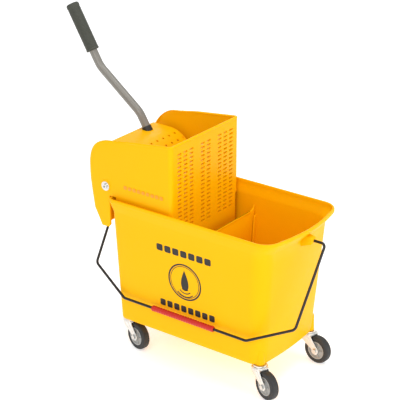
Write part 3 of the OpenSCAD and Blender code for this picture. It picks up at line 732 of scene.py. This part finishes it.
def make_press():
    curve_end = SHELF_LEN + TURN_LEN
    rows = [SHELF_LEN + math.radians(a) * DRUM_R for a in (23, 39, 55)]
    rows += [curve_end + 20 + HOLE_PITCH * k for k in range(9)]
    cuts_u = {0.0, 15.0, 30.0, SHELF_LEN, curve_end, curve_end + FACE_RUN.length}
    for r in rows:
        cuts_u |= {r - HOLE_CELL, r + HOLE_CELL}
    cuts_u |= {SHELF_LEN + math.radians(a) * DRUM_R for a in (5, 10, 15, 31, 47, 62)}
    cuts_u = sorted(round(u, 4) for u in cuts_u)
    starts = [round(r - HOLE_CELL, 4) for r in rows]
    cuts_v = [-PRESS_Y] + [(k - 10) * HALF_PITCH for k in range(1, 20)] + [PRESS_Y]

    def hole(i, j):
        if cuts_u[i] not in starts:
            return None
        row = starts.index(cuts_u[i])
        return (HOLE_R, HOLE_R, HOLE_R) if (j + row) % 2 == 0 else None

    def at(u, v, d):
        x, z = press_path(u, d)
        return x, v, z

    pieces = [perforated("press", cuts_u, cuts_v, hole, at, PRESS_T, 5)]
    web = [(-153, 463), (-121, 392.5), (-111, 384.5), (-77, 384.5), (-60, 350), (-32, 262), (-28, 262),
           (-48.6, 420)]
    web += arc(PIVOT.x, PIVOT.z, DRUM_R - 2, 22, 90, 8)
    for y0 in (-PRESS_Y, PRESS_Y - WEB_T):
        pieces.append(bevel(plate("web", web, in_xz(y0), WEB_T), 1.0))
    for side in (-1, 1):
        hub = lathe("hub", [(5.1, 0), (9.2, 0), (10, 0.8), (10, HUB_LEN - 0.8), (9.2, HUB_LEN),
                            (5.1, HUB_LEN)], 40)
        turn_y = Matrix.Rotation(-side * math.pi / 2, 4, "X")
        spot = Matrix.Translation((PIVOT.x * MM, side * (PRESS_Y - HUB_LEN) * MM, PIVOT.z * MM))
        pieces.append(place(hub, spot @ turn_y))
    # thickened rolled edges along the shelf and the sides of the curved top
    for y in (-PRESS_Y + 0.9, PRESS_Y - 0.9):
        line = []
        for k in range(25):
            x, z = press_path(0.8 + curve_end * k / 24, 1.2)
            line.append(Vector((x, y, z)))
        pieces.append(sweep("edge", line, 1.7, 10))
    pieces.append(box("shelf_edge", (-157, -102, 459.5), (-153.4, 102, 465.4), 1.2))
    socket = lathe("socket", [(9.7, 0), (13.4, 0), (13.4, 34), (9.7, 34)], 40)
    pieces.append(place(socket, on_tube(0)))
    for x0 in (-138, -122):
        pieces.append(box("gusset", (x0, 44, 432), (x0 + 3, 76, 462.5), 0.6))
    return adopt(join("press_moulding", pieces), "lever", ["press_plate"], YELLOW, 32)


HANDLE_Y = 60.0
LEAN_END, LEAN_MID = math.radians(31), math.radians(52.3)
TUBE_FOOT = Vector((-117.5, HANDLE_Y, 430.6))
DIR_END = Vector((-math.sin(LEAN_END), 0, math.cos(LEAN_END)))
DIR_MID = Vector((-math.sin(LEAN_MID), 0, math.cos(LEAN_MID)))
LENGTH_LOW, LENGTH_MID, LENGTH_TOP = 82, 144, 150
BEND_LOW = TUBE_FOOT + DIR_END * LENGTH_LOW
BEND_HIGH = BEND_LOW + DIR_MID * LENGTH_MID
TUBE_TIP = BEND_HIGH + DIR_END * LENGTH_TOP
TUBE_R, BEND_R = 9.5, 60
GRIP_LENGTH, GRIP_R, GRIP_GROOVES = 116.0, 15.0, 30


def on_tube(along, start=None):
    """Frame of a piece drawn along +Z, at a distance from the start along the handle's end direction."""
    at = (start or TUBE_FOOT) + DIR_END * along
    return Matrix.Translation(at * MM) @ Matrix.Rotation(-LEAN_END, 4, "Y")


def make_handle():
    route = fillet_path([TUBE_FOOT, BEND_LOW, BEND_HIGH, TUBE_TIP], [BEND_R, BEND_R], 14)
    tube = sweep("lever_tube", route, TUBE_R, 40)
    adopt(tube, "lever", ["handle_tube"], TUBE)

    shelf_along = (PIVOT.z + DRUM_R - TUBE_FOOT.z) / DIR_END.z
    ring = lathe("ring", [(9.6, -6), (10.6, -6), (10.9, -2), (10.9, 3), (10.9, 6.4), (10.4, 7.4),
                          (9.6, 7.7)], 40)
    place(ring, on_tube(shelf_along))
    for v in ring.data.vertices:
        v.co.z = max(v.co.z, (PIVOT.z + DRUM_R + 0.15) * MM)
    adopt(clean(ring), "lever", ["handle_collar"], BLACK)

    length, r = GRIP_LENGTH, GRIP_R
    profile = [(9.6, 0), (13.6, 0), (15.0, 1.0), (15.2, 3.0), (15.0, 5.0), (14.2, 6.2)]
    for k in range(GRIP_GROOVES):
        z = lerp(8.0, length - 14.0, k / (GRIP_GROOVES - 1))
        profile += [(14.15, z - 1.3), (14.9, z - 0.6), (14.9, z + 0.6), (14.15, z + 1.3)]
    profile += [(14.4, length - 11), (r, length - 9.5), (r, length - 5)]
    profile += [(r - 5 + 5 * math.cos(a), length - 5 + 5 * math.sin(a))
                for a in (math.pi / 2 * k / 6 for k in range(1, 7))]
    profile += [(6, length), (4.6, length - 1.6), (0.4, length - 1.8), (0.4, length - 4.9),
                (9.6, length - 4.9)]
    grip = lathe("lever_handgrip", profile, 48)
    place(grip, on_tube(0, TUBE_TIP - DIR_END * (length - 5)))
    adopt(grip, "lever", ["handle_grip"], GRIP, 50)


# ---------------------------------------------------------------- casters

TRAIL, WHEEL_R, TYRE_HALF = 26.0, 31.8, 9.0
LEG_Y, LEG_T, LEG_R = 11.0, 2.2, 9
FORK_Z, FORK_TOP, CROWN_R = 63.5, 66.1, 17.5
HUB_R, SPOKES = 21.0, 5


def make_caster(name, x, y, yaw):
    swivel = Matrix.Translation((x * MM, y * MM, 0)) @ Matrix.Rotation(math.radians(yaw), 4, "Z")
    axle = swivel @ Matrix.Translation((TRAIL * MM, 0, WHEEL_R * MM)) @ Matrix.Rotation(math.pi / 2, 4, "X")

    crown = lathe("crown", [(6.1, FORK_Z), (CROWN_R - 0.3, FORK_Z), (CROWN_R, FORK_Z + 0.5),
                            (CROWN_R, FORK_TOP - 0.7), (CROWN_R - 0.7, FORK_TOP), (6.1, FORK_TOP)], 48)
    leg = [(-15.5, 65.8), (-15.5, 60), (-10, 51), (TRAIL - 9.5, WHEEL_R + 2)]
    leg += arc(TRAIL, WHEEL_R, LEG_R, 170, 380, 16)
    leg += [(16.5, 58), (15.5, 61), (15.5, 65.8)]
    sides = [bevel(plate("leg", leg, in_xz(y0), LEG_T), 0.7) for y0 in (-LEG_Y - LEG_T, LEG_Y)]
    bridge = box("bridge", (-14.5, -LEG_Y - LEG_T, FORK_Z + 0.1), (15.5, LEG_Y + LEG_T, FORK_TOP - 0.1), 0.7)
    rib = []
    for y0 in (-13.9, 12.7):
        swage = [(-6, 60.5), (7, 60.5), (TRAIL - 3.5, WHEEL_R + 10), (TRAIL - 8.5, WHEEL_R + 10)]
        rib.append(bevel(plate("swage", swage, in_xz(y0), 1.2), 0.5))
    fork = place(join("fork_" + name + "_pressing", [crown, bridge] + sides + rib), swivel)
    adopt(fork, "caster_" + name, ["fork_" + name], STEEL)

    ring = [(13.5, 66.15), (17.0, 66.15), (17.5, 66.6), (17.5, 67.2), (16.7, 67.6),
            (17.3, 68.1), (17.1, 69.0), (16.4, 69.2), (13.5, 69.2)]
    race = lathe("race_" + name + "_ring", ring, 48)
    adopt(place(race, swivel), "caster_" + name, ["race_" + name], STEEL)

    half_hub = [(7.5, 5.6), (16.4, 5.0), (17.8, 5.6), (18.6, 8.0), (19.4, 8.6), (HUB_R, 8.6)]
    bore = [(3.1, 10.6), (6.4, 10.6), (7.2, 9.8)]
    outline = [(r, -z) for r, z in bore + half_hub] + [(r, z) for r, z in reversed(bore + half_hub)]
    hub = lathe("hub", outline, 56)
    spokes = []
    for k in range(SPOKES):
        spoke = box("spoke", (7, -1.1, -7.4), (18.2, 1.1, 7.4), 0.5)
        spokes.append(place(spoke, Matrix.Rotation(2 * math.pi * k / SPOKES, 4, "Z")))
    hub = place(join("hub_" + name + "_moulding", [hub] + spokes), axle)
    adopt(hub, "wheel_" + name, ["hub_" + name], HUB)

    w = TYRE_HALF
    profile = [(HUB_R, -w + 0.3), (22.0, -w), (24.2, -w), (24.6, 0.5 - w), (25.2, 0.5 - w), (25.6, -w)]
    profile += [(WHEEL_R - 4.5 + 4.5 * math.cos(a), 4.5 - w + 4.5 * math.sin(a))
                for a in (math.radians(d) for d in range(-90, 1, 15))]
    profile += [(r, -z) for r, z in reversed(profile)]
    tyre = place(lathe("tyre_" + name + "_ring", profile, 72), axle)
    adopt(tyre, "wheel_" + name, ["tyre_" + name], TYRE)


# ---------------------------------------------------------------- carried-over hardware

def dress(node, mat, width=0.0):
    """Keeps a CAD node: material, and a fine bevel where it has room."""
    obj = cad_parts[node]
    obj.data.materials.clear()
    obj.data.materials.append(mat)
    if width:
        mod = obj.modifiers.new("edges", "BEVEL")
        mod.width = width * MM
        mod.segments = 2
        mod.limit_method = "ANGLE"
        mod.angle_limit = math.radians(40)


make_bucket()
make_divider()
make_print()
make_bail()
make_housing()
make_press()
make_handle()
for corner, (swivel_x, swivel_y, corner_yaw) in CORNERS.items():
    make_caster(corner, swivel_x, swivel_y, corner_yaw)
    dress("stem_" + corner, STEEL, 0.3)
    dress("bolt_" + corner, BRIGHT, 0.3)
    dress("nut_" + corner, BRIGHT, 0.3)
dress("lever_axle", STEEL, 0.2)
dress("axle_bushes", NYLON, 0.3)
dress("axle_washers", BRIGHT, 0.3)
dress("axle_screws", BRIGHT, 0.3)
dress("return_spring", STEEL)
dress("handle_screw", BRIGHT, 0.3)


# ---------------------------------------------------------------- studio

FLOOR_HALF = 6000
floor = make_object("studio_floor", [(-FLOOR_HALF, -FLOOR_HALF, 0), (FLOOR_HALF, -FLOOR_HALF, 0),
                                     (FLOOR_HALF, FLOOR_HALF, 0), (-FLOOR_HALF, FLOOR_HALF, 0)], [(0, 1, 2, 3)])
paper = bpy.data.materials.new("paper")
paper.use_nodes = True
paper_inputs = paper.node_tree.nodes["Principled BSDF"].inputs
paper_inputs["Base Color"].default_value = (0.93, 0.93, 0.93, 1)
paper_inputs["Roughness"].default_value = 0.9
paper_inputs["Emission Color"].default_value = (1, 1, 1, 1)
paper_inputs["Emission Strength"].default_value = 0.45
floor.data.materials.append(paper)

world = bpy.data.worlds.new("studio")
scene.world = world
world.use_nodes = True
world.node_tree.nodes["Background"].inputs["Color"].default_value = (1, 1, 1, 1)
world.node_tree.nodes["Background"].inputs["Strength"].default_value = 0.66

TARGET = Vector((0.054, 0.0, 0.361))


def softbox(name, where, power, size):
    light = bpy.data.lights.new(name, "AREA")
    light.energy = power
    light.size = size
    lamp = bpy.data.objects.new(name, light)
    scene.collection.objects.link(lamp)
    lamp.location = where
    lamp.rotation_euler = (TARGET - Vector(where)).to_track_quat("-Z", "Y").to_euler()


softbox("key", (0.9, -2.5, 2.3), 24, 1.5)
softbox("end", (3.2, 0.1, 1.4), 20, 1.3)
softbox("back", (-1.6, 2.6, 1.6), 7, 1.2)
softbox("top", (0.5, 0.2, 2.9), 24, 1.8)
softbox("corner", (2.3, -1.7, 0.4), 5, 0.5)

AZIMUTH, ELEVATION, DISTANCE = math.radians(36.6), math.radians(23.4), 3.1688
camera_data = bpy.data.cameras.new("camera")
camera_data.lens = 130.4
camera_data.sensor_width = 36
camera = bpy.data.objects.new("camera", camera_data)
scene.collection.objects.link(camera)
toward = Vector((math.sin(AZIMUTH) * math.cos(ELEVATION),
                 -math.cos(AZIMUTH) * math.cos(ELEVATION),
                 math.sin(ELEVATION)))
camera.location = TARGET + toward * DISTANCE
camera.rotation_euler = toward.to_track_quat("Z", "Y").to_euler()
scene.camera = camera
scene.view_settings.view_transform = "Standard"
